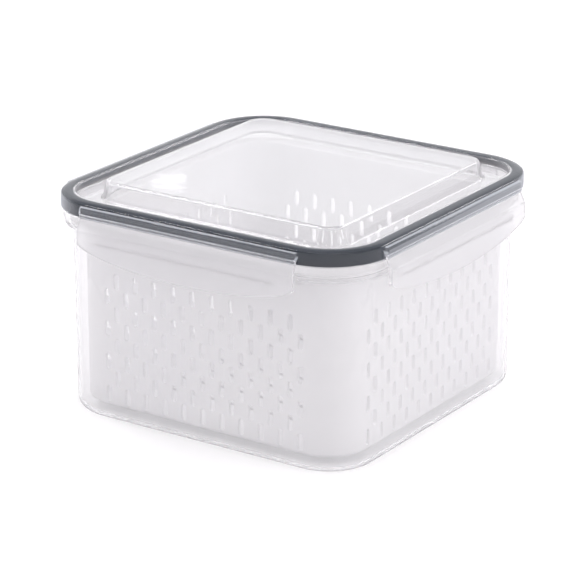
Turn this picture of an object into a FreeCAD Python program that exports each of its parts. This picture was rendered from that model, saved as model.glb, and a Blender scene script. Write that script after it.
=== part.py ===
import FreeCAD, Part
import math
import os

# A square food keeper: a clear container with a perforated basket hung in it, and a clear
# lid with a seal in its rim and a hinged flap on each side. Lengths are in mm, +Z is up,
# the front is -Y, and the origin is the middle of the base on the surface it stands on.
# Every ring is one section, drawn as (distance from the middle, height), carried round the
# same rounded square.

Vector = FreeCAD.Vector
ORIGIN = Vector(0, 0, 0)
UP = Vector(0, 0, 1)

# Container
BODY_WIDTH = 197.2            # across the outside of the walls
BODY_CORNER_RADIUS = 30.4     # outside of the wall at its corners, seen from above
BODY_HEIGHT = 120.7           # base to the top of the flange
BODY_WALL = 1.8
BODY_FLOOR = 2.0
BODY_FOOT_RADIUS = 7.0        # outside edge between wall and base
FLANGE_REACH = 5.4            # how far the flange stands out of the wall
FLANGE_HEIGHT = 9.0           # both beads of the flange together
UPPER_BEAD_HEIGHT = 5.0
BEAD_STEP = 0.8               # the lower bead stands this much back from the upper one
LEDGE_STEP = 3.4              # width of the inner ledge that carries the basket
LEDGE_THICKNESS = 2.0
LIP_HEIGHT = 5.3              # sealing lip above the flange

# Basket
BASKET_SIDE_GAP = 5.6         # basket wall to container wall, all the way round
BASKET_WALL = 1.8
BASKET_FLOOR = 2.0
BASKET_FOOT_BEVEL = 3.0
DRIP_SPACE = 5.0              # under the basket, for water that drains out of it
BASKET_RIM = 1.8              # thickness of the rim that lies on the ledge
BASKET_RIM_PLAY = 0.4

# Slots of the basket
SLOT_WIDTH = 3.2
SLOT_HEIGHT = 9.4
SLOT_PITCH = 13.0
SLOT_ROWS = 8
SLOT_ROW_PITCH = 9.7
FIRST_ROW = 7.6               # lowest row's middle above the underside of the basket
DRAIN_SLOTS = 7               # long slots across the basket's floor
DRAIN_PITCH = 18.0
DRAIN_LENGTH = 110.0

# Lid
LID_OVERHANG = 1.0            # lid skirt beyond the flange
SKIRT_GAP = 0.4               # under the skirt, above the flange
RIM_HEIGHT = 8.9
RIM_WALL = 1.2
RIM_ROUND = 1.2
LID_PANEL = 1.8
MOAT_DEPTH = 5.1              # sunken band between the rim and the raised panel
MOAT_WIDTH = 14.6
DOME_HEIGHT = 10.2            # raised panel above the sunken band
DOME_DRAFT = 3.1
DOME_ROUND = 1.5

# Seal in the channel of the rim
SEAL_REACH = 2.1              # how far the seal reaches in past the container's lip
SEAL_FIT = 0.1                # side play between seal, lip and channel
SEAL_END_GAP = 0.6            # seal's lower edge above the flange

# Flaps and their hinges
FLAP_WIDTH = 142.8
HINGE_OUT = 1.6               # hinge line outside the skirt
HINGE_BELOW_RIM = 6.9
HINGE_RADIUS = 0.9
HINGE_CLEARANCE = 0.2
BAND_REACH = 2.8              # band over the hinge, standing out of the skirt
BAND_BELOW_RIM = 1.8
BAND_ROUND = 1.3
FLAP_REACH = 3.4              # outside face of a flap beyond its hinge line
FLAP_THICKNESS = 2.2
FLAP_LIP_THICKNESS = 1.6
FLAP_DROP = 25.9              # hinge line to the lowest point of a flap
FLAP_CURVE_RISE = 10.4        # lower edge from its middle up to the flap's ends
FLAP_BEND_RISE = 4.3          # height of the bend near each end of the lower edge
FLAP_BEND_SHARE = 0.9         # where that bend is, as a share of half the flap's width
FLAP_FLAT_SHARE = 0.42        # how far the lower edge stays nearly level
NECK_THICKNESS = 1.0
NECK_DROP = 1.5
SHOULDER_DROP = 7.4           # hinge line to where a flap's outside face turns straight
HOOK_ENGAGEMENT = 2.0         # how far a flap's hook reaches in under the flange
HOOK_CLEARANCE = 0.4
HOOK_THICKNESS = 3.0
HOOK_END_INSET = 12.4         # each end of a hook from the end of its flap
FLAP_FLARE = 0.9              # how far a flap's lower edge leans out, from a crease at its hook
FLAP_TRIM = 2.0               # cut off a flap's blank all round

# Heights and distances that follow from the sizes above
BODY_HALF = BODY_WIDTH / 2
CORNER_AT = BODY_HALF - BODY_CORNER_RADIUS
FLANGE_HALF = BODY_HALF + FLANGE_REACH
FLANGE_BOTTOM = BODY_HEIGHT - FLANGE_HEIGHT
LEDGE_TOP = FLANGE_BOTTOM + LEDGE_THICKNESS
BODY_INSIDE = BODY_HALF - BODY_WALL
LIP_INSIDE = BODY_INSIDE + LEDGE_STEP
LIP_OUTSIDE = LIP_INSIDE + BODY_WALL
LIP_TOP = BODY_HEIGHT + LIP_HEIGHT

BASKET_HALF = BODY_INSIDE - BASKET_SIDE_GAP
BASKET_BOTTOM = BODY_FLOOR + DRIP_SPACE
BASKET_TOP = LEDGE_TOP + BASKET_RIM

RIM_HALF = FLANGE_HALF + LID_OVERHANG
SKIRT_BOTTOM = BODY_HEIGHT + SKIRT_GAP
RIM_TOP = SKIRT_BOTTOM + RIM_HEIGHT
CHANNEL_TOP = RIM_TOP - RIM_WALL
CHANNEL_OUTSIDE = RIM_HALF - RIM_WALL
CHANNEL_INSIDE = LIP_INSIDE - SEAL_REACH - 2 * SEAL_FIT
RIM_INSIDE = CHANNEL_INSIDE - RIM_WALL
MOAT_TOP = RIM_TOP - MOAT_DEPTH
DOME_FOOT = RIM_INSIDE - MOAT_WIDTH
DOME_TOP = MOAT_TOP + DOME_HEIGHT

HINGE_AT = RIM_HALF + HINGE_OUT
HINGE_Z = RIM_TOP - HINGE_BELOW_RIM
FLAP_OUTSIDE = HINGE_AT + FLAP_REACH
FLAP_INSIDE = FLAP_OUTSIDE - FLAP_THICKNESS
FLAP_BOTTOM = HINGE_Z - FLAP_DROP
HOOK_TOP = FLANGE_BOTTOM - HOOK_CLEARANCE
HOOK_BOTTOM = HOOK_TOP - HOOK_THICKNESS
HOOK_TIP = FLANGE_HALF - BEAD_STEP - HOOK_ENGAGEMENT


def section(corners):
    """A flat face in the XZ plane. Each corner is (x, z), or (x, z, radius, flats) where its
    rounding is drawn as that many flats."""
    points = [Vector(corner[0], 0, corner[1]) for corner in corners]
    outline = []
    for i, corner in enumerate(corners):
        point = points[i]
        if len(corner) == 2:
            outline.append(point)
            continue
        radius, flats = corner[2:]
        before = (points[i - 1] - point).normalize()
        after = (points[(i + 1) % len(points)] - point).normalize()
        half_angle = before.getAngle(after) / 2
        bisector = (before + after).normalize()
        centre = point + bisector * (radius / math.sin(half_angle))
        start = point + before * (radius / math.tan(half_angle)) - centre
        end = point + after * (radius / math.tan(half_angle)) - centre
        for flat in range(flats + 1):
            chord = start + (end - start) * round_share(flat / flats, half_angle)
            outline.append(centre + chord.normalize() * radius)
    return Part.Face(Part.makePolygon(outline + outline[:1]))


def round_share(share, half_angle):
    """How far along the chord of a rounding a point lies that is this share along its arc."""
    swept = math.pi / 2 - half_angle
    return (1 + math.tan(swept * (2 * share - 1)) / math.tan(swept)) / 2


def turned(shape, quarters):
    """A copy of a shape, turned about the vertical axis by quarters of a turn."""
    copy = shape.copy()
    copy.rotate(ORIGIN, UP, 90 * quarters)
    return copy


def straight_side(profile):
    """The straight stretch of a ring on the +X side."""
    face = profile.copy()
    face.translate(Vector(0, -CORNER_AT, 0))
    return face.extrude(Vector(0, 2 * CORNER_AT, 0))


def round_corner(profile):
    """The quarter turn of a ring that follows its +X side."""
    face = profile.copy()
    face.translate(Vector(0, CORNER_AT, 0))
    return face.revolve(Vector(CORNER_AT, CORNER_AT, 0), UP, 90)


def joined(solids):
    """One solid from solids that touch or overlap."""
    return solids[0].multiFuse(solids[1:]).removeSplitter().Solids[0]


def ring(profile, side=None):
    """A section carried round the rounded square. A side that is given replaces the plain one."""
    side = side or straight_side(profile)
    corner = round_corner(profile)
    return [turned(piece, quarter) for quarter in range(4) for piece in (side, corner)]


def middle_plate(bottom, top):
    """The square plate that fills a ring whose section starts at the corner centres."""
    width = 2 * CORNER_AT
    return Part.makeBox(width, width, top - bottom, Vector(-CORNER_AT, -CORNER_AT, bottom))


def container():
    """Clear open box with a two-bead flange, an inner ledge and a sealing lip."""
    step_z = BODY_HEIGHT - UPPER_BEAD_HEIGHT
    profile = section([
        (CORNER_AT, 0),
        (BODY_HALF, 0, BODY_FOOT_RADIUS, 2),
        (BODY_HALF, FLANGE_BOTTOM),
        (FLANGE_HALF - BEAD_STEP, FLANGE_BOTTOM),
        (FLANGE_HALF - BEAD_STEP, step_z),
        (FLANGE_HALF, step_z),
        (FLANGE_HALF, BODY_HEIGHT),
        (LIP_OUTSIDE, BODY_HEIGHT),
        (LIP_OUTSIDE, LIP_TOP),
        (LIP_INSIDE, LIP_TOP),
        (LIP_INSIDE, LEDGE_TOP),
        (BODY_INSIDE, LEDGE_TOP),
        (BODY_INSIDE, BODY_FLOOR, BODY_FOOT_RADIUS - BODY_WALL, 1),
        (CORNER_AT, BODY_FLOOR),
    ])
    return joined(ring(profile) + [middle_plate(0, BODY_FLOOR)])


def slot_cutter(width, length, depth):
    """A block for a slot along Z through a wall across X, centred on the origin."""
    return Part.makeBox(depth, width, length, Vector(-depth / 2, -width / 2, -length / 2))


def slot_row(offset, room):
    """Places along one row: a slot every pitch within the room to each side of the middle."""
    count = math.floor((room - offset) / SLOT_PITCH)
    right = [offset + SLOT_PITCH * i for i in range(count + 1)]
    return sorted({-place for place in right} | set(right))


def basket_slots():
    """Cutters for the staggered rows of slots in the basket's +X wall."""
    cutter = slot_cutter(SLOT_WIDTH, SLOT_HEIGHT, 3 * BASKET_WALL)
    cutter.translate(Vector(BASKET_HALF - BASKET_WALL / 2, 0, 0))
    room = CORNER_AT - SLOT_WIDTH / 2
    cutters = []
    for row in range(SLOT_ROWS):
        height = BASKET_BOTTOM + FIRST_ROW + SLOT_ROW_PITCH * row
        offset = SLOT_PITCH / 2 * (row % 2)
        for place in slot_row(offset, room):
            copy = cutter.copy()
            copy.translate(Vector(0, place, height))
            cutters.append(copy)
    return Part.makeCompound(cutters)


def drain_slots():
    """Cutters for the slots in the basket's floor."""
    cutter = slot_cutter(SLOT_WIDTH, DRAIN_LENGTH, 3 * BASKET_FLOOR)
    cutter.rotate(ORIGIN, Vector(0, 1, 0), 90)
    cutters = []
    for i in range(DRAIN_SLOTS):
        copy = cutter.copy()
        place = DRAIN_PITCH * (i - (DRAIN_SLOTS - 1) / 2)
        copy.translate(Vector(0, place, BASKET_BOTTOM + BASKET_FLOOR / 2))
        cutters.append(copy)
    return Part.makeCompound(cutters)


def basket():
    """White perforated basket that hangs by its rim on the container's ledge."""
    rim_half = LIP_INSIDE - BASKET_RIM_PLAY
    profile = section([
        (CORNER_AT, BASKET_BOTTOM),
        (BASKET_HALF - BASKET_FOOT_BEVEL, BASKET_BOTTOM),
        (BASKET_HALF, BASKET_BOTTOM + BASKET_FOOT_BEVEL),
        (BASKET_HALF, LEDGE_TOP),
        (rim_half, LEDGE_TOP),
        (rim_half, BASKET_TOP),
        (BASKET_HALF - BASKET_WALL, BASKET_TOP),
        (BASKET_HALF - BASKET_WALL, BASKET_BOTTOM + BASKET_FLOOR),
        (CORNER_AT, BASKET_BOTTOM + BASKET_FLOOR),
    ])
    side = straight_side(profile).cut(basket_slots())
    floor = middle_plate(BASKET_BOTTOM, BASKET_BOTTOM + BASKET_FLOOR).cut(drain_slots())
    return joined(ring(profile, side) + [floor])


def hinge_band():
    """Thicker band of the lid's rim over the hinge of the +X flap."""
    bottom = HINGE_Z + HINGE_RADIUS + HINGE_CLEARANCE
    top = RIM_TOP - BAND_BELOW_RIM
    root = RIM_HALF - RIM_WALL / 2
    profile = section([
        (root, bottom),
        (RIM_HALF + BAND_REACH, bottom),
        (RIM_HALF + BAND_REACH, top, BAND_ROUND, 1),
        (root, top),
    ])
    profile.translate(Vector(0, -FLAP_WIDTH / 2, 0))
    return profile.extrude(Vector(0, FLAP_WIDTH, 0))


def lid():
    """Clear lid: channelled rim, sunken band, raised panel and four hinge bands."""
    moat_bottom = MOAT_TOP - LID_PANEL
    dome_half = DOME_FOOT - DOME_DRAFT
    profile = section([
        (CORNER_AT, DOME_TOP - LID_PANEL),
        (dome_half - LID_PANEL, DOME_TOP - LID_PANEL),
        (DOME_FOOT - LID_PANEL, moat_bottom),
        (CHANNEL_INSIDE, moat_bottom),
        (CHANNEL_INSIDE, CHANNEL_TOP),
        (CHANNEL_OUTSIDE, CHANNEL_TOP),
        (CHANNEL_OUTSIDE, SKIRT_BOTTOM),
        (RIM_HALF, SKIRT_BOTTOM),
        (RIM_HALF, RIM_TOP, RIM_ROUND, 1),
        (RIM_INSIDE, RIM_TOP),
        (RIM_INSIDE, MOAT_TOP),
        (DOME_FOOT, MOAT_TOP),
        (dome_half, DOME_TOP, DOME_ROUND, 1),
        (CORNER_AT, DOME_TOP),
    ])
    bands = [turned(hinge_band(), quarter) for quarter in range(4)]
    return joined(ring(profile) + [middle_plate(DOME_TOP - LID_PANEL, DOME_TOP)] + bands)


def seal():
    """Soft ring in the lid's channel. It covers the top and the outside of the lip."""
    bottom = BODY_HEIGHT + SEAL_END_GAP
    profile = section([
        (CHANNEL_INSIDE + SEAL_FIT, LIP_TOP),
        (LIP_OUTSIDE + SEAL_FIT, LIP_TOP),
        (LIP_OUTSIDE + SEAL_FIT, bottom),
        (CHANNEL_OUTSIDE - SEAL_FIT, bottom),
        (CHANNEL_OUTSIDE - SEAL_FIT, CHANNEL_TOP),
        (CHANNEL_INSIDE + SEAL_FIT, CHANNEL_TOP),
    ])
    return joined(ring(profile))


def flap_blank():
    """A flap's plate before it is trimmed to its outline, so a little too wide and too long."""
    neck = NECK_THICKNESS / 2
    blank_bottom = FLAP_BOTTOM - FLAP_TRIM
    width = FLAP_WIDTH + 2 * FLAP_TRIM
    lip_inside = FLAP_OUTSIDE + FLAP_FLARE - FLAP_LIP_THICKNESS
    shoulder_z = HINGE_Z - SHOULDER_DROP
    neck_z = HINGE_Z - NECK_DROP
    crease_z = HOOK_TOP - HOOK_THICKNESS / 3
    profile = section([
        (HINGE_AT - neck, HINGE_Z),
        (HINGE_AT - neck, neck_z),
        (FLAP_INSIDE, shoulder_z),
        (FLAP_INSIDE, HOOK_BOTTOM),
        (lip_inside, blank_bottom),
        (lip_inside + FLAP_LIP_THICKNESS, blank_bottom),
        (FLAP_OUTSIDE, crease_z),
        (FLAP_OUTSIDE, shoulder_z, FLAP_REACH, 2),
        (HINGE_AT + neck, neck_z),
        (HINGE_AT + neck, HINGE_Z),
    ])
    profile.translate(Vector(0, -width / 2, 0))
    return profile.extrude(Vector(0, width, 0))


def flap_outline():
    """Prism of a flap's outline seen from outside. Each half of its lower edge is a cubic."""
    half = FLAP_WIDTH / 2
    top = HINGE_Z + 2 * HINGE_RADIUS
    start = HINGE_AT - FLAP_REACH
    poles = [Vector(start, half * share, FLAP_BOTTOM + rise) for share, rise in (
        (0, 0), (FLAP_FLAT_SHARE, 0), (FLAP_BEND_SHARE, FLAP_BEND_RISE), (1, FLAP_CURVE_RISE))]
    curve = Part.BezierCurve()
    curve.setPoles(poles)
    sides = Part.makePolygon([
        poles[-1], Vector(start, half, top), Vector(start, 0, top), poles[0]])
    face = Part.Face(Part.Wire([curve.toShape()] + sides.Edges))
    right = face.extrude(Vector(3 * FLAP_REACH, 0, 0))
    return joined([right, right.mirror(ORIGIN, Vector(0, 1, 0))])


def flap_hook():
    """Rib inside a flap that catches under the container's flange."""
    slope = HOOK_THICKNESS / 3
    profile = section([
        (HOOK_TIP, HOOK_TOP),
        (HOOK_TIP, HOOK_TOP - HOOK_THICKNESS + slope),
        (FLAP_INSIDE, HOOK_BOTTOM),
        (FLAP_INSIDE + FLAP_THICKNESS / 2, HOOK_BOTTOM),
        (FLAP_INSIDE + FLAP_THICKNESS / 2, HOOK_TOP),
    ])
    length = FLAP_WIDTH - 2 * HOOK_END_INSET
    profile.translate(Vector(0, -length / 2, 0))
    return profile.extrude(Vector(0, length, 0))


def flap():
    """The +X flap, closed: a plate hung on a thin round hinge, with its hook inside."""
    plate = flap_blank().common(flap_outline())
    start = Vector(HINGE_AT, -FLAP_WIDTH / 2, HINGE_Z)
    hinge = Part.makeCylinder(HINGE_RADIUS, FLAP_WIDTH, start, Vector(0, 1, 0))
    return joined([plate, hinge, flap_hook()])


def save(name, shape):
    """Write one piece as a STEP file and print what it measures."""
    shape.exportStep(f"parts/{name}.step")
    box = shape.BoundBox
    print(f"{name}: valid {shape.isValid()}, {len(shape.Solids)} solid, {len(shape.Faces)} faces, "
          f"{shape.Volume / 1000:.1f} cm3, z {box.ZMin:.2f} to {box.ZMax:.2f}, x to {box.XMax:.2f}")


def main():
    os.makedirs("parts", exist_ok=True)
    save("container", container())
    save("basket", basket())
    save("lid", lid())
    save("seal", seal())
    right_flap = flap()
    for quarter, side in enumerate(("right", "back", "left", "front")):
        save(f"{side}_flap", turned(right_flap, quarter))
    print(f"hinge lines {HINGE_AT:.2f} mm from the middle, {HINGE_Z:.2f} mm up")


main()
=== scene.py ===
import math

import bmesh
import bpy
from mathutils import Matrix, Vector


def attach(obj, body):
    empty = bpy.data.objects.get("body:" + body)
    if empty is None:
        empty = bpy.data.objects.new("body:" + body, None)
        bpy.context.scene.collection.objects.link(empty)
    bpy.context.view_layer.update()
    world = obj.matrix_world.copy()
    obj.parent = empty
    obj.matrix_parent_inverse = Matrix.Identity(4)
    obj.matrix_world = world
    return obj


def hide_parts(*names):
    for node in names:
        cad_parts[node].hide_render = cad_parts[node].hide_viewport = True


# The looks of a square food keeper: clear container, slotted white basket, clear lid with a
# dark seal in its rim, and four clear flaps. Sections are in mm, drawn as (distance from the
# middle, height), and every piece is made in metres in the model's own frame.

MM = 0.001
CORNER_AT = 68.2              # middle of each rounded corner, from the middle of the object
CORNER_STEPS = 24
ROUNDING_STEP = math.radians(11.5)
MERGE_WITHIN = 1e-6           # metres
NEAR = 0.01                   # width of a sharp step, and play when two lines are compared
REST_GAP = 0.05               # air under a rim or a seal that rests on another piece

# Container
WALL_OUT, WALL_IN = 98.6, 96.8
WALL_DRAFT = 0.5              # walls lean in by this much from flange to base
FLANGE_OUT, FLANGE_BOTTOM, FLANGE_TOP = 104.0, 111.7, 120.7
LOWER_BEAD_OUT, BEAD_STEP_Z = 103.2, 115.7
LEDGE_TOP = 113.7
LIP_IN, LIP_OUT, LIP_TOP = 100.2, 102.0, 126.0
FLOOR_TOP = 2.0
FOOT_RADIUS, INNER_FOOT_RADIUS = 7.0, 5.2

# Basket
BASKET_OUT, BASKET_IN = 91.2, 89.4
BASKET_BOTTOM, BASKET_FLOOR_TOP = 7.0, 9.0
BASKET_RIM_OUT, BASKET_TOP = 99.8, 115.5
SLOT_WIDTH, SLOT_LENGTH = 3.2, 9.4
SLOT_BEVEL = 0.25
SLOT_COLUMNS = 21             # columns of slots along one side, every second one full height
FIRST_SLOT, SLOT_ROW_PITCH, SLOT_ROWS = 14.6, 9.7, 8
WALL_START = 9.75             # where the basket's wall turns straight above its foot
DRAINS, DRAIN_PITCH, DRAIN_LENGTH, DRAIN_MARGIN = 7, 18.0, 110.0, 5.0
CELL_PARTS = 4                # parts of each edge of the cell round a slot
END_STEPS = 2 * CELL_PARTS    # steps round each round end of a slot

# Lid and seal
RIM_OUT, RIM_TOP, SKIRT_BOTTOM = 105.0, 130.0, 121.1
CHANNEL_OUT, CHANNEL_IN, CHANNEL_TOP = 103.8, 97.9, 128.8
RIM_IN, MOAT_TOP, MOAT_BOTTOM = 96.7, 124.9, 123.1
DOME_FOOT, DOME_EDGE, DOME_TOP, PANEL = 82.1, 79.0, 135.1, 1.8
CROWN_AT, CROWN_RADIUS = 99.5, 13.0
CROWN_POINTS = (103, 102, 101, 100, 99, 98)
SEAL_BOTTOM, SEAL_FIT = 121.3, 0.12
SEAL_PRESS = 0.04             # the seal's skin lies this deep in the channel's, with no air between
BAND_OUT, BAND_BOTTOM, BAND_TOP = 107.8, 124.2, 128.2
SKIN = 0.6                    # depth of the rim's outer skin, and of a band sunk in it

# Flaps
FLAP_HALF, FLAP_STEPS = 71.4, 44
HINGE_AT, HINGE_Z, HINGE_RADIUS, HINGE_STEPS = 106.6, 123.1, 0.9, 12
NECK, NECK_Z = 0.5, 121.6     # half the thickness of the plate under its hinge, and its height
FLAP_OUT, FLAP_IN, SHOULDER_Z = 110.0, 107.8, 115.7
CREASE_Z, CREASE_ABOVE_EDGE = 110.3, 0.6
HOOK_HALF, HOOK_TIP, HOOK_TOP, HOOK_BOTTOM = 59.0, 101.2, 111.3, 108.3
HOOK_ABOVE_EDGE, HOOK_THICKNESS = 0.3, 0.6      # at the least
ROOT_RISE, TIP_DROP, TIP_BOTTOM_DROP = 0.2, 0.02, 2.0    # of the hook, from its top
FLAP_LOW = 97.2
FLAP_EDGE = ((0, 0), (0.42, 0), (0.9, 4.3), (1, 10.4))   # poles: share of half width, rise
FLARE_OUT, FLARE_IN = 0.9 / 15.1, 1.5 / 13.1   # lean of the lip's two faces, per mm of height
FLAP_EDGE_RADIUS, SHARP = 0.3, math.radians(35)
HALVINGS = 30                 # of the stretch in which a place on the edge's curve is sought
SIDES = ("right", "back", "left", "front")     # in quarter turns about +Z

# Margins past a line, beyond which a face belongs to the part on that side
LID_MARGIN, HINGE_MARGIN, HOOK_MARGIN = 0.1, 0.3, 0.2

# Plastic
PLASTIC_IOR = 1.49
ROUGHNESS_DRIFT = (0.8, 1.3)  # of a clear piece's roughness, from place to place
MILK, BLUE_MILK = (0.94, 0.94, 0.955, 1), (0.86, 0.9, 0.96, 1)     # colours of its haze
EDGE_ON = (0.35, 1.0)         # slants between which a clear wall's haze deepens
DRIFT = (0.35, 0.65)          # stretch of the noise over which a value drifts

# Light, where 1 is the white of the picture
FILL = 0.675
HORIZON = (0.48, 0.62)        # sines of elevation between which the room dims to its ceiling
ROOM_LOW, ROOM_HIGH = 1.05, 0.4
FLOOR_HALF, FLOOR_DROP = 6.0, 0.0002
FLOOR_FADE = (0.3, 1.5)       # distances in metres between which its glow grows
FLOOR_GLOW_NEAR, FLOOR_GLOW_FAR = 0.43, 0.62
LAMP_COLOUR = (1, 0.975, 1)
LAMPS = (                     # name, place, point it is aimed at, size, power, is it in sheens
    ("overhead", (0, 0.1, 1.6), (0, 0, 0.1), (1.0, 0.8), 4, True),
    ("front_box", (-1.1, -1.05, 0.85), (0, 0, 0.08), (1.5, 1.5), 9.2, False),
    ("right_box", (1.2, 0.1, 0.85), (0, 0, 0.08), (1.5, 1.5), 10, False),
    ("patch_box", (-0.887, 1.085, 0.584), (-0.038, -0.067, 0.135), (0.04, 0.015), 0.002, True),
    ("back_box", (0.12, 1.1, 0.98), (0, 0, 0.1), (0.5, 0.4), 3, True),
    ("left_box", (-0.75, 0.12, 1.25), (0, 0, 0.1), (0.35, 0.35), 3.5, True),
)

# Camera, fitted to the photograph
CAMERA_ROUND, CAMERA_UP = math.radians(33.888), math.radians(19.519)
CAMERA_TARGET, CAMERA_DISTANCE = (-0.003306, -0.0020, 0.063581), 1.640
SENSOR, LENS = 36, 178.16


# Outlines and surfaces

def rounded(corners):
    """Outline points from corners (h, z) or (h, z, radius), open at both ends."""
    points = []
    for i, corner in enumerate(corners):
        at = Vector(corner[:2])
        if len(corner) == 2:
            points.append(at)
            continue
        radius = corner[2]
        before = (Vector(corners[i - 1][:2]) - at).normalized()
        after = (Vector(corners[(i + 1) % len(corners)][:2]) - at).normalized()
        half_angle = before.angle(after) / 2
        centre = at + (before + after).normalized() * (radius / math.sin(half_angle))
        start = at + before * (radius / math.tan(half_angle)) - centre
        end = at + after * (radius / math.tan(half_angle)) - centre
        turn = start.angle_signed(end)
        count = max(2, math.ceil(abs(turn) / ROUNDING_STEP))
        for k in range(count + 1):
            angle = -turn * k / count
            points.append(centre + Vector((
                start.x * math.cos(angle) - start.y * math.sin(angle),
                start.x * math.sin(angle) + start.y * math.cos(angle))))
    return points


def turn_quarter(x, y, quarter):
    """A point turned about +Z by quarters of a turn."""
    for _ in range(quarter % 4):
        x, y = -y, x
    return x, y


def side_point(quarter, h, along, z):
    """A point on one side of the object, given as out, along and up, in metres."""
    x, y = turn_quarter(h, along, quarter)
    return Vector((x, y, z)) * MM


def path(stops=()):
    """The loop round the rounded square: (quarter, angle, None) at a corner, or (quarter,
    None, stop) with a distance along the straight side."""
    places = []
    for quarter in range(4):
        for stop in stops:
            places.append((quarter, None, stop))
        for step in range(CORNER_STEPS + 1):
            places.append((quarter, math.pi / 2 * step / CORNER_STEPS, None))
    return places


def place_point(place, h, z):
    """Where an outline point (h, z) lies at one place of the path, in metres."""
    quarter, angle, stop = place
    if angle is None:
        return side_point(quarter, h, stop, z)
    reach = h - CORNER_AT
    return side_point(quarter, CORNER_AT + reach * math.cos(angle),
                      CORNER_AT + reach * math.sin(angle), z)


def sweep(bm, outline, closed=False, stops=(), skip=None):
    """Faces of an outline carried round the rounded square, and the loops of their vertices.
    skip(place, next_place, j) leaves out a face."""
    places = path(stops)
    loops = [[bm.verts.new(place_point(place, *point)) for point in outline]
             for place in places]
    spans = len(outline) if closed else len(outline) - 1
    for i, loop in enumerate(loops):
        following = loops[(i + 1) % len(loops)]
        for j in range(spans):
            if skip and skip(places[i], places[(i + 1) % len(places)], j):
                continue
            k = (j + 1) % len(outline)
            bm.faces.new((loop[j], following[j], following[k], loop[k]))
    return loops


def end_plates(bm, loops):
    """Square plates between the four corner middles, at both ends of an open outline."""
    per_side = len(loops) // 4
    for end in (0, -1):
        bm.faces.new([loops[quarter * per_side + per_side - 1][end] for quarter in range(4)])


def bridge(bm, ring, following):
    """Faces between two closed rings of vertices."""
    for j in range(len(ring)):
        k = (j + 1) % len(ring)
        bm.faces.new((ring[j], following[j], following[k], ring[k]))


def made(name, bm):
    """A mesh object from a bmesh, with its doubles merged and its faces turned outward."""
    bmesh.ops.remove_doubles(bm, verts=bm.verts, dist=MERGE_WITHIN)
    bmesh.ops.recalc_face_normals(bm, faces=bm.faces)
    mesh = bpy.data.meshes.new(name)
    bm.to_mesh(mesh)
    bm.free()
    mesh.shade_smooth()
    obj = bpy.data.objects.new(name, mesh)
    bpy.context.scene.collection.objects.link(obj)
    return obj


def even_normals(obj):
    """Keep flat faces flat beside their small rounded edges."""
    weighted = obj.modifiers.new("even normals", "WEIGHTED_NORMAL")
    weighted.keep_sharp = True
    weighted.weight = 50


def soft_edges(obj, radius):
    """Round the sharp edges of a moulded piece."""
    bevel = obj.modifiers.new("soft edges", "BEVEL")
    bevel.width = radius * MM
    bevel.segments = 2
    bevel.limit_method = "ANGLE"
    bevel.angle_limit = SHARP
    bevel.use_clamp_overlap = True


def apply_modifiers(obj):
    """Replace an object's mesh by what its modifiers make of it."""
    graph = bpy.context.evaluated_depsgraph_get()
    mesh = bpy.data.meshes.new_from_object(obj.evaluated_get(graph))
    obj.modifiers.clear()
    obj.data = mesh


# Container, lid and seal

def make_container():
    """Open box with a stepped flange, an inner ledge for the basket and a sealing lip."""
    outline = rounded([
        (CORNER_AT, 0),
        (WALL_OUT - WALL_DRAFT, 0, FOOT_RADIUS),
        (WALL_OUT, FLANGE_BOTTOM, 0.8),
        (LOWER_BEAD_OUT, FLANGE_BOTTOM, 0.7),
        (LOWER_BEAD_OUT, BEAD_STEP_Z, 0.3),
        (FLANGE_OUT, BEAD_STEP_Z, 0.35),
        (FLANGE_OUT, FLANGE_TOP, 0.8),
        (LIP_OUT, FLANGE_TOP, 0.3),
        (LIP_OUT, LIP_TOP, 0.5),
        (LIP_IN, LIP_TOP, 0.5),
        (LIP_IN, LEDGE_TOP, 0.3),
        (WALL_IN, LEDGE_TOP, 0.5),
        (WALL_IN - WALL_DRAFT, FLOOR_TOP, INNER_FOOT_RADIUS),
        (CORNER_AT, FLOOR_TOP),
    ])
    bm = bmesh.new()
    end_plates(bm, sweep(bm, outline))
    obj = made("container_shell", bm)
    even_normals(obj)
    return obj


def crown_height(h):
    """Height of the rim's slightly crowned top at a distance from the middle."""
    return RIM_TOP - CROWN_RADIUS + math.sqrt(CROWN_RADIUS ** 2 - (h - CROWN_AT) ** 2)


def make_lid_body():
    """Rim with its channel, sunken band and raised panel."""
    outline = rounded([
        (CORNER_AT, DOME_TOP - PANEL),
        (DOME_EDGE - PANEL, DOME_TOP - PANEL, 1.0),
        (DOME_FOOT - PANEL, MOAT_BOTTOM, 2.5),
        (CHANNEL_IN, MOAT_BOTTOM, 0.3),
        (CHANNEL_IN, CHANNEL_TOP, 0.3),
        (CHANNEL_OUT, CHANNEL_TOP, 0.4),
        (CHANNEL_OUT, SKIRT_BOTTOM, 0.2),
        (RIM_OUT, SKIRT_BOTTOM, 0.4),
        (RIM_OUT, crown_height(RIM_OUT), 1.2),
        *[(h, crown_height(h)) for h in CROWN_POINTS],
        (RIM_IN, crown_height(RIM_IN), 0.5),
        (RIM_IN, MOAT_TOP, 0.8),
        (DOME_FOOT, MOAT_TOP, 1.2),
        (DOME_EDGE, DOME_TOP, 2.0),
        (CORNER_AT, DOME_TOP),
    ])
    bm = bmesh.new()
    end_plates(bm, sweep(bm, outline))
    return made("lid_shell", bm)


def make_band(quarter):
    """Thicker bar of the rim over one hinge, sunk a little into the skirt."""
    outline = rounded([
        (RIM_OUT - SKIN, BAND_BOTTOM),
        (BAND_OUT, BAND_BOTTOM, 0.5),
        (BAND_OUT, BAND_TOP, 1.3),
        (RIM_OUT - SKIN, BAND_TOP),
    ])
    bm = bmesh.new()
    ends = [[bm.verts.new(side_point(quarter, h, along, z)) for h, z in outline]
            for along in (-FLAP_HALF, FLAP_HALF)]
    for end in ends:
        bm.faces.new(end)
    bridge(bm, *ends)
    return made("band", bm)


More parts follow.
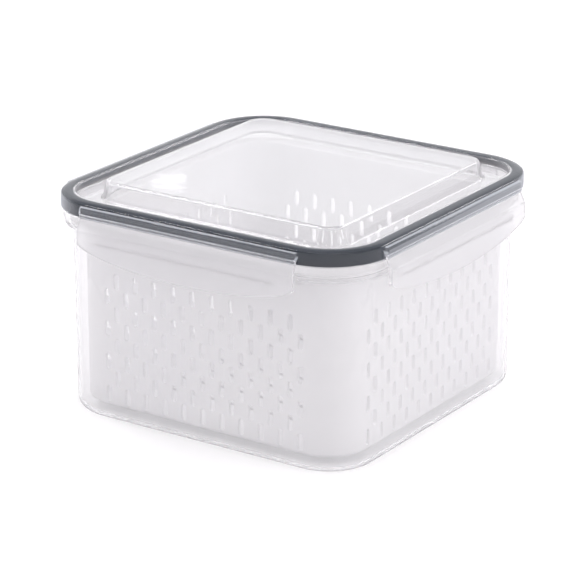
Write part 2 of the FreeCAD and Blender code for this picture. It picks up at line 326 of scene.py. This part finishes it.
def make_lid():
    """The lid in one moulding with its four hinge bands."""
    lid = make_lid_body()
    bands = [make_band(quarter) for quarter in range(4)]
    for band in bands:
        union = lid.modifiers.new("band", "BOOLEAN")
        union.operation = "UNION"
        union.solver = "EXACT"
        union.object = band
    apply_modifiers(lid)
    for band in bands:
        bpy.data.objects.remove(band)
    even_normals(lid)
    return lid


def make_seal():
    """Soft ring in the rim's channel, over the top and the outside of the container's lip."""
    outline = rounded([
        (CHANNEL_IN + SEAL_FIT, LIP_TOP + REST_GAP, 0.2),
        (LIP_OUT + SEAL_FIT, LIP_TOP + REST_GAP, 0.2),
        (LIP_OUT + SEAL_FIT, SEAL_BOTTOM, 0.3),
        (CHANNEL_OUT + SEAL_PRESS, SEAL_BOTTOM, 0.2),
        (CHANNEL_OUT + SEAL_PRESS, CHANNEL_TOP + SEAL_PRESS, 0.3),
        (CHANNEL_IN + SEAL_FIT, CHANNEL_TOP + SEAL_PRESS, 0.3),
    ])
    bm = bmesh.new()
    sweep(bm, outline, closed=True)
    obj = made("seal_ring", bm)
    even_normals(obj)
    return obj


# Basket

def wall_levels():
    """Heights at which the basket's slotted wall is divided: twice between slot rows."""
    low = [WALL_START, (WALL_START + FIRST_SLOT) / 2, FIRST_SLOT]
    return low + [FIRST_SLOT + SLOT_ROW_PITCH / 2 * k for k in range(1, 2 * SLOT_ROWS + 1)]


def slot_ring(length, grow):
    """Points round a slot, from the left end of its lower curve: two to each part of its
    cell's border at its round ends, and one to each part along its straight sides."""
    radius = SLOT_WIDTH / 2 + grow
    straight = (length - SLOT_WIDTH) / 2
    ring = []
    for half in (-1, 1):
        for k in range(END_STEPS):
            angle = math.pi * k / END_STEPS
            ring.append((half * radius * math.cos(angle),
                         half * (straight + radius * math.sin(angle))))
        for k in range(CELL_PARTS):
            ring.append((-half * radius, half * straight * (1 - 2 * k / CELL_PARTS)))
    return ring


def slot_cell(bm, at, us, vs, length, faces):
    """A cell of a wall with one slot, between five lines each way. at(u, v, depth) places a
    point, and faces are the depths of the wall's two sides."""
    border = cell_border(us, vs)
    border_spans = ([2] * CELL_PARTS + [1] * CELL_PARTS) * 2
    outer, inner = faces
    sign = 1 if outer > inner else -1
    depths = [(outer, SLOT_BEVEL), (outer - sign * SLOT_BEVEL, 0),
              (inner + sign * SLOT_BEVEL, 0), (inner, SLOT_BEVEL)]
    centre_u, centre_v = (us[0] + us[-1]) / 2, vs[CELL_PARTS // 2]
    rings = [[bm.verts.new(at(centre_u + u, centre_v + v, depth))
              for u, v in slot_ring(length, grow)] for depth, grow in depths]
    count = len(rings[0])
    for near, far in zip(rings, rings[1:]):
        for k in range(count):
            bm.faces.new((near[k], near[(k + 1) % count], far[(k + 1) % count], far[k]))
    for ring, depth in ((rings[0], outer), (rings[-1], inner)):
        edge = [bm.verts.new(at(u, v, depth)) for u, v in border]
        k = 0
        for i, span in enumerate(border_spans):
            hole = [ring[(k + s) % count] for s in range(span + 1)]
            bm.faces.new([edge[i], edge[(i + 1) % len(edge)]] + hole[::-1])
            k += span


def cell_border(us, vs):
    """The border points of a cell from its lines each way, from its lower left corner."""
    border = [(u, vs[0]) for u in us[:-1]] + [(us[-1], v) for v in vs[:-1]]
    return border + [(u, vs[-1]) for u in us[:0:-1]] + [(us[0], v) for v in vs[:0:-1]]


def grid_quads(bm, at, us, vs, faces):
    """Plain stretch of a wall: quads between the given lines, on both sides."""
    for depth in faces:
        rows = [[bm.verts.new(at(u, v, depth)) for u in us] for v in vs]
        for low, high in zip(rows, rows[1:]):
            for i in range(len(us) - 1):
                bm.faces.new((low[i], low[i + 1], high[i + 1], high[i]))


def slotted_side(bm, quarter, levels):
    """The slotted wall on one side of the basket, both faces."""
    def at(u, v, depth):
        return side_point(quarter, depth, u, v)

    faces = (BASKET_OUT, BASKET_IN)
    pitch = 2 * CORNER_AT / SLOT_COLUMNS
    for column in range(SLOT_COLUMNS):
        us = [-CORNER_AT + pitch * (column + share / CELL_PARTS)
              for share in range(CELL_PARTS + 1)]
        level = 0
        if column % 2:
            level = CELL_PARTS // 2
            grid_quads(bm, at, us, levels[:level + 1], faces)
        while level + CELL_PARTS < len(levels):
            slot_cell(bm, at, us, levels[level:level + CELL_PARTS + 1], SLOT_LENGTH, faces)
            level += CELL_PARTS
        if level < len(levels) - 1:
            grid_quads(bm, at, us, levels[level:], faces)


def slotted_floor(bm, stops):
    """The basket's floor between the corner middles, with its long drain slots."""
    def at(u, v, depth):
        return Vector((v, u, depth)) * MM

    faces = (BASKET_BOTTOM, BASKET_FLOOR_TOP)
    half_u = DRAIN_PITCH * DRAINS / 2
    half_v = DRAIN_LENGTH / 2 + DRAIN_MARGIN
    vs = [half_v * (2 * share / CELL_PARTS - 1) for share in range(CELL_PARTS + 1)]
    lines = [-half_u + DRAIN_PITCH / CELL_PARTS * share
             for share in range(CELL_PARTS * DRAINS + 1)]
    for first in range(0, CELL_PARTS * DRAINS, CELL_PARTS):
        slot_cell(bm, at, lines[first:first + CELL_PARTS + 1], vs, DRAIN_LENGTH, faces)
    edge = [-CORNER_AT] + stops + [CORNER_AT]
    inner_sides = [
        [(u, half_v) for u in reversed(lines)], [(half_u, v) for v in vs],
        [(u, -half_v) for u in lines], [(-half_u, v) for v in reversed(vs)]]
    for quarter, inner in enumerate(inner_sides):
        outer = [turn_quarter(CORNER_AT, stop, quarter) for stop in edge]
        for depth in faces:
            points = [at(y, x, depth) for x, y in outer] + [at(u, v, depth) for u, v in inner]
            bm.faces.new([bm.verts.new(point) for point in points])


def make_basket():
    """White basket with eight staggered rows of slots in each wall and slots in its floor."""
    levels = wall_levels()
    outline = rounded(
        [(CORNER_AT, BASKET_BOTTOM), (BASKET_OUT, BASKET_BOTTOM, 2.6)]
        + [(BASKET_OUT, z) for z in levels]
        + [(BASKET_OUT, LEDGE_TOP + REST_GAP, 0.6),
           (BASKET_RIM_OUT, LEDGE_TOP + REST_GAP, 0.4),
           (BASKET_RIM_OUT, BASKET_TOP, 0.6),
           (BASKET_IN, BASKET_TOP, 0.8)]
        + [(BASKET_IN, z) for z in reversed(levels)]
        + [(BASKET_IN, BASKET_FLOOR_TOP, 0.7), (CORNER_AT, BASKET_FLOOR_TOP)])
    parts = CELL_PARTS * SLOT_COLUMNS
    stops = [-CORNER_AT + 2 * CORNER_AT / parts * k for k in range(1, parts)]
    low, high = levels[0] - NEAR, levels[-1] + NEAR

    def is_slotted(place, next_place, j):
        on_side = place[1] is None or next_place[1] is None
        return on_side and all(low < point[1] < high for point in outline[j:j + 2])

    bm = bmesh.new()
    sweep(bm, outline, stops=stops, skip=is_slotted)
    for quarter in range(4):
        slotted_side(bm, quarter, levels)
    slotted_floor(bm, stops)
    obj = made("basket_shell", bm)
    even_normals(obj)
    return obj


# Flaps

def edge_point(t):
    """A point of the flap's lower edge: its share of the half width, and its rise."""
    weights = ((1 - t) ** 3, 3 * t * (1 - t) ** 2, 3 * t ** 2 * (1 - t), t ** 3)
    return [sum(w * pole[i] for w, pole in zip(weights, FLAP_EDGE)) for i in (0, 1)]


def edge_rise(along):
    """How far the flap's lower edge has risen at one place along it."""
    share = abs(along / FLAP_HALF)
    low, high = 0.0, 1.0
    for _ in range(HALVINGS):
        middle = (low + high) / 2
        if edge_point(middle)[0] < share:
            low = middle
        else:
            high = middle
    return edge_point(low)[1]


def flap_section(along):
    """The closed outline of a flap at one place along it. Its lip ends on a cubic curve, and
    only its middle stretch has the hook."""
    low = FLAP_LOW + edge_rise(along)
    crease = max(CREASE_Z, low + CREASE_ABOVE_EDGE)
    lip_out = FLAP_OUT + FLARE_OUT * (crease - low)
    inner_bend = max(HOOK_BOTTOM, low + HOOK_ABOVE_EDGE)
    lip_in = FLAP_IN + FLARE_IN * (inner_bend - low)
    reach = HOOK_TIP if abs(along) <= HOOK_HALF else FLAP_IN
    top = max(HOOK_TOP, inner_bend + HOOK_THICKNESS)
    neck_turn = math.asin(NECK / HINGE_RADIUS)
    bar = []
    for k in range(HINGE_STEPS + 1):
        angle = -math.pi / 2 + neck_turn + (2 * math.pi - 2 * neck_turn) * k / HINGE_STEPS
        bar.append((HINGE_AT + HINGE_RADIUS * math.cos(angle),
                    HINGE_Z + HINGE_RADIUS * math.sin(angle)))
    inside = rounded([
        bar[-1],
        (HINGE_AT - NECK, NECK_Z, 0.4),
        (FLAP_IN, SHOULDER_Z, 2.0),
        (FLAP_IN, top + ROOT_RISE),
        (reach, top - TIP_DROP),
        (reach, top - TIP_BOTTOM_DROP),
        (FLAP_IN, inner_bend),
        (lip_in, low),
    ])
    outside = rounded([
        (lip_out, low),
        (FLAP_OUT, crease, 0.6),
        (FLAP_OUT, SHOULDER_Z, 3.4),
        (HINGE_AT + NECK, NECK_Z, 0.5),
        bar[0],
    ])
    return bar[1:-1] + [tuple(point) for point in inside + outside]


def make_flap(name, quarter):
    """Clear flap: a thin round hinge, a curved shoulder, a plate, a leaning lip and a hook."""
    stops = [FLAP_HALF * (2 * k / FLAP_STEPS - 1) for k in range(FLAP_STEPS + 1)]
    stops += [-HOOK_HALF, -HOOK_HALF - NEAR, HOOK_HALF, HOOK_HALF + NEAR]
    bm = bmesh.new()
    rings = [[bm.verts.new(side_point(quarter, h, along, z)) for h, z in flap_section(along)]
             for along in sorted(stops)]
    for ring, following in zip(rings, rings[1:]):
        bridge(bm, ring, following)
    bm.faces.new(rings[0])
    bm.faces.new(rings[-1])
    obj = made(name, bm)
    soft_edges(obj, FLAP_EDGE_RADIUS)
    even_normals(obj)
    return obj


# Nodes

def new_material(name):
    """A node material with its nodes cleared and an output node."""
    material = bpy.data.materials.new(name)
    material.use_nodes = True
    nodes = material.node_tree.nodes
    nodes.clear()
    return material, nodes, material.node_tree.links, nodes.new("ShaderNodeOutputMaterial")


def add_node(nodes, kind, **values):
    """A node with values on its own sockets, whose names are written with _ for a space."""
    node = nodes.new(kind)
    for name, value in values.items():
        node.inputs[name.replace("_", " ")].default_value = value
    return node


def noise_at(nodes, links, scale, detail):
    """Noise fixed to the object."""
    noise = add_node(nodes, "ShaderNodeTexNoise", Scale=scale, Detail=detail)
    coordinates = nodes.new("ShaderNodeTexCoord")
    links.new(coordinates.outputs["Object"], noise.inputs["Vector"])
    return noise.outputs["Fac"]


def fine_bump(nodes, links, shader, scale, distance):
    """Give a shader the very slight waviness of a moulded surface."""
    bump = add_node(nodes, "ShaderNodeBump", Strength=1, Distance=distance)
    links.new(noise_at(nodes, links, scale, 2), bump.inputs["Height"])
    links.new(bump.outputs["Normal"], shader.inputs["Normal"])


def map_range(nodes, links, source, before, after):
    """A number carried from one range to another, and held at its ends."""
    mapped = add_node(nodes, "ShaderNodeMapRange", From_Min=before[0], From_Max=before[1],
                      To_Min=after[0], To_Max=after[1])
    links.new(source, mapped.inputs["Value"])
    return mapped.outputs["Result"]


def vary(nodes, links, socket, scale, low, high):
    """Let a colour or a number drift over a surface between two values."""
    noise = noise_at(nodes, links, scale, 3)
    if not isinstance(low, tuple):
        links.new(map_range(nodes, links, noise, DRIFT, (low, high)), socket)
        return
    ramp = nodes.new("ShaderNodeValToRGB")
    for element, at, colour in zip(ramp.color_ramp.elements, DRIFT, (low, high)):
        element.position = at
        element.color = (*colour, 1)
    links.new(noise, ramp.inputs["Fac"])
    links.new(ramp.outputs["Color"], socket)


def mix_shaders(nodes, links, share, first, second):
    """Two shaders mixed, where a share of 1 is the second alone. It is a number or a socket."""
    mix = nodes.new("ShaderNodeMixShader")
    if isinstance(share, float):
        mix.inputs["Fac"].default_value = share
    else:
        links.new(share, mix.inputs["Fac"])
    links.new(first.outputs[0], mix.inputs[1])
    links.new(second.outputs[0], mix.inputs[2])
    return mix


def either_ray(nodes, links, kind, other_kind):
    """One for rays of either kind, and nothing for the rest."""
    rays = nodes.new("ShaderNodeLightPath")
    either = nodes.new("ShaderNodeMath")
    either.operation = "MAXIMUM"
    links.new(rays.outputs[kind], either.inputs[0])
    links.new(rays.outputs[other_kind], either.inputs[1])
    return either.outputs["Value"]


# Materials

def clear_plastic(name, haze, edge_haze, roughness, lets_by=0.97, milk_colour=MILK):
    """Clear moulded plastic with a milky haze, which is deeper where a wall is seen edge on.
    Lamps and diffuse light pass straight through, and each surface lets by a share of them."""
    material, nodes, links, output = new_material(name)
    clear = add_node(nodes, "ShaderNodeBsdfPrincipled", Base_Color=(0.99, 0.99, 0.993, 1),
                     IOR=PLASTIC_IOR, Transmission_Weight=1)
    low, high = (part * roughness for part in ROUGHNESS_DRIFT)
    vary(nodes, links, clear.inputs["Roughness"], 14, low, high)
    fine_bump(nodes, links, clear, scale=28, distance=0.00012)
    milk = add_node(nodes, "ShaderNodeBsdfDiffuse", Color=milk_colour)
    glow = add_node(nodes, "ShaderNodeBsdfTranslucent", Color=milk_colour)
    hazy = mix_shaders(nodes, links, 0.5, milk, glow)
    slant = add_node(nodes, "ShaderNodeLayerWeight", Blend=0.5)
    depth = map_range(nodes, links, slant.outputs["Facing"], EDGE_ON, (haze, edge_haze))
    body = mix_shaders(nodes, links, depth, clear, hazy)
    passing = add_node(nodes, "ShaderNodeBsdfTransparent", Color=(lets_by, lets_by, lets_by, 1))
    passes = either_ray(nodes, links, "Is Shadow Ray", "Is Diffuse Ray")
    whole = mix_shaders(nodes, links, passes, body, passing)
    links.new(whole.outputs["Shader"], output.inputs["Surface"])
    return material


def white_plastic():
    """White moulded plastic of the basket, a little see-through to light."""
    material, nodes, links, output = new_material("basket_white")
    shader = add_node(nodes, "ShaderNodeBsdfPrincipled", IOR=PLASTIC_IOR)
    vary(nodes, links, shader.inputs["Base Color"], 9, (0.93, 0.93, 0.94), (0.95, 0.95, 0.95))
    vary(nodes, links, shader.inputs["Roughness"], 25, 0.24, 0.34)
    fine_bump(nodes, links, shader, scale=60, distance=0.0001)
    glow = add_node(nodes, "ShaderNodeBsdfTranslucent", Color=(0.92, 0.92, 0.93, 1))
    whole = mix_shaders(nodes, links, 0.38, shader, glow)
    links.new(whole.outputs["Shader"], output.inputs["Surface"])
    return material


def seal_rubber():
    """Dark grey soft rubber."""
    material, nodes, links, output = new_material("seal_rubber")
    shader = nodes.new("ShaderNodeBsdfPrincipled")
    vary(nodes, links, shader.inputs["Base Color"], 30, (0.010, 0.016, 0.028),
         (0.016, 0.023, 0.037))
    vary(nodes, links, shader.inputs["Roughness"], 60, 0.52, 0.68)
    fine_bump(nodes, links, shader, scale=400, distance=0.00005)
    links.new(shader.outputs["BSDF"], output.inputs["Surface"])
    return material


def reach_of(middle):
    """How far a point lies from the middle, as the swept outlines measure it."""
    x, y = abs(middle.x), abs(middle.y)
    if min(x, y) < CORNER_AT:
        return max(x, y)
    return CORNER_AT + math.hypot(x - CORNER_AT, y - CORNER_AT)


def lid_part(middle):
    """0 for the rim, 1 for the panel inside it, 2 for the bands over the hinges, 3 for the
    outside of the rim."""
    if max(abs(middle.x), abs(middle.y)) > RIM_OUT + LID_MARGIN:
        return 2
    reach = reach_of(middle)
    if reach < RIM_IN + LID_MARGIN:
        return 1
    return 3 if reach > RIM_OUT - SKIN else 0


def flap_part(middle):
    """0 for a flap's plate, 1 for its top at the hinge, 2 for its hook."""
    if middle.z > NECK_Z + HINGE_MARGIN:
        return 1
    is_inside = max(abs(middle.x), abs(middle.y)) < FLAP_IN - HOOK_MARGIN
    return 2 if is_inside and middle.z < SHOULDER_Z else 0


def dress(obj, materials, body, node, pick=None):
    """Give a piece its materials and body, and let it stand for its CAD node. pick gives the
    number of a face's material from the face's middle in mm."""
    obj.data.materials.clear()
    for material in materials:
        obj.data.materials.append(material)
    for face in obj.data.polygons:
        face.material_index = pick(face.center / MM) if pick else 0
    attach(obj, body)
    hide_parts(node)


# Stage

def allow_bounces():
    """Let light find its way through many clear walls and about in the white basket."""
    paths = bpy.context.scene.cycles
    paths.max_bounces = 24
    paths.diffuse_bounces = 8
    paths.glossy_bounces = 8
    paths.transmission_bounces = 24
    paths.transparent_max_bounces = 48


def seen_rays(nodes, links):
    """One for rays from the camera and for rays through or off something glossy."""
    return either_ray(nodes, links, "Is Camera Ray", "Is Glossy Ray")


def make_world():
    """A white room with a dim ceiling where it is seen or mirrored, and an even fill light."""
    world = bpy.data.worlds.new("studio")
    bpy.context.scene.world = world
    world.use_nodes = True
    nodes, links = world.node_tree.nodes, world.node_tree.links
    nodes.clear()
    output = nodes.new("ShaderNodeOutputWorld")
    coordinates = nodes.new("ShaderNodeTexCoord")
    split = nodes.new("ShaderNodeSeparateXYZ")
    links.new(coordinates.outputs["Generated"], split.inputs["Vector"])
    fill = add_node(nodes, "ShaderNodeBackground", Color=(0.99, 0.965, 0.98, 1), Strength=FILL)
    room = add_node(nodes, "ShaderNodeBackground", Color=(0.97, 0.98, 1.0, 1))
    links.new(map_range(nodes, links, split.outputs["Z"], HORIZON, (ROOM_LOW, ROOM_HIGH)),
              room.inputs["Strength"])
    whole = mix_shaders(nodes, links, seen_rays(nodes, links), fill, room)
    links.new(whole.outputs["Shader"], output.inputs["Surface"])


def make_floor():
    """Pale floor that takes the object's shadow near it and turns white farther out."""
    bm = bmesh.new()
    bmesh.ops.create_grid(bm, x_segments=8, y_segments=8, size=FLOOR_HALF)
    mesh = bpy.data.meshes.new("floor")
    bm.to_mesh(mesh)
    bm.free()
    floor = bpy.data.objects.new("floor", mesh)
    floor.location.z = -FLOOR_DROP
    bpy.context.scene.collection.objects.link(floor)
    material, nodes, links, output = new_material("floor_white")
    diffuse = add_node(nodes, "ShaderNodeBsdfDiffuse", Color=(0.605, 0.6, 0.61, 1))
    shine = add_node(nodes, "ShaderNodeEmission", Color=(1, 1, 1, 1))
    coordinates = nodes.new("ShaderNodeTexCoord")
    distance = nodes.new("ShaderNodeVectorMath")
    distance.operation = "LENGTH"
    links.new(coordinates.outputs["Object"], distance.inputs[0])
    strength = nodes.new("ShaderNodeMath")
    strength.operation = "MULTIPLY"
    links.new(seen_rays(nodes, links), strength.inputs[0])
    links.new(map_range(nodes, links, distance.outputs["Value"], FLOOR_FADE,
                        (FLOOR_GLOW_NEAR, FLOOR_GLOW_FAR)), strength.inputs[1])
    links.new(strength.outputs["Value"], shine.inputs["Strength"])
    whole = nodes.new("ShaderNodeAddShader")
    links.new(diffuse.outputs["BSDF"], whole.inputs[0])
    links.new(shine.outputs["Emission"], whole.inputs[1])
    links.new(whole.outputs["Shader"], output.inputs["Surface"])
    mesh.materials.append(material)


def make_lamps():
    """Soft oval lamps overhead and on all four sides. patch_box shows as a bright patch on the
    lid's panel. The two large boxes are hidden from glossy rays, which dims them in sheens. The
    clear panel still mirrors them where it is seen low from the far side."""
    for name, place, aim, size, power, is_in_sheen in LAMPS:
        data = bpy.data.lights.new(name, "AREA")
        data.shape = "ELLIPSE"
        data.size, data.size_y = size
        data.energy = power
        data.color = LAMP_COLOUR
        lamp = bpy.data.objects.new(name, data)
        lamp.location = place
        lamp.visible_glossy = is_in_sheen
        direction = Vector(aim) - Vector(place)
        lamp.rotation_euler = direction.to_track_quat("-Z", "Y").to_euler()
        bpy.context.scene.collection.objects.link(lamp)


def add_camera():
    """The photograph's camera: a long lens, 34 degrees round from the front, 20 above."""
    data = bpy.data.cameras.new("camera")
    data.sensor_width = SENSOR
    data.lens = LENS
    camera = bpy.data.objects.new("camera", data)
    direction = Vector((math.sin(CAMERA_ROUND) * math.cos(CAMERA_UP),
                        -math.cos(CAMERA_ROUND) * math.cos(CAMERA_UP), math.sin(CAMERA_UP)))
    camera.location = Vector(CAMERA_TARGET) + direction * CAMERA_DISTANCE
    camera.rotation_euler = (-direction).to_track_quat("-Z", "Y").to_euler()
    bpy.context.scene.collection.objects.link(camera)
    bpy.context.scene.camera = camera


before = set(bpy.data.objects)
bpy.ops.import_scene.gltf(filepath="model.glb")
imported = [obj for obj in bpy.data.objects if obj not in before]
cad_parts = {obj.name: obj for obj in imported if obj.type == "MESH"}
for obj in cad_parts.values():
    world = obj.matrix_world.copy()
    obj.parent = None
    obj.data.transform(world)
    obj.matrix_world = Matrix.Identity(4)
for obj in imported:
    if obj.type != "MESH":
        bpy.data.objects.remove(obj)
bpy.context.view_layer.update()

# haze where a wall is seen square on and edge on, roughness, and the share of light let by
container_clear = clear_plastic("container_clear", 0.125, 0.36, 0.02)
lid_clear = clear_plastic("lid_clear", 0.006, 0.02, 0.03)
panel_clear = clear_plastic("panel_clear", 0.17, 0.2, 0.03)
band_clear = clear_plastic("band_clear", 0.15, 1.0, 0.08, milk_colour=BLUE_MILK)
skirt_clear = clear_plastic("skirt_clear", 0.006, 1.0, 0.03, milk_colour=BLUE_MILK)
flap_clear = clear_plastic("flap_clear", 0.26, 0.9, 0.08, 0.9)
hook_clear = clear_plastic("hook_clear", 0.3, 0.9, 0.2, 0.9)

dress(make_container(), [container_clear], "root", "container")
dress(make_basket(), [white_plastic()], "root", "basket")
dress(make_lid(), [lid_clear, panel_clear, band_clear, skirt_clear], "root", "lid",
      lid_part)
dress(make_seal(), [seal_rubber()], "root", "seal")
for quarter, side in enumerate(SIDES):
    node = f"{side}_flap"
    dress(make_flap(f"{side}_flap_shell", quarter), [flap_clear, band_clear, hook_clear],
          node, node, flap_part)

allow_bounces()
make_world()
make_floor()
make_lamps()
add_camera()
bpy.context.scene.view_settings.view_transform = "Standard"
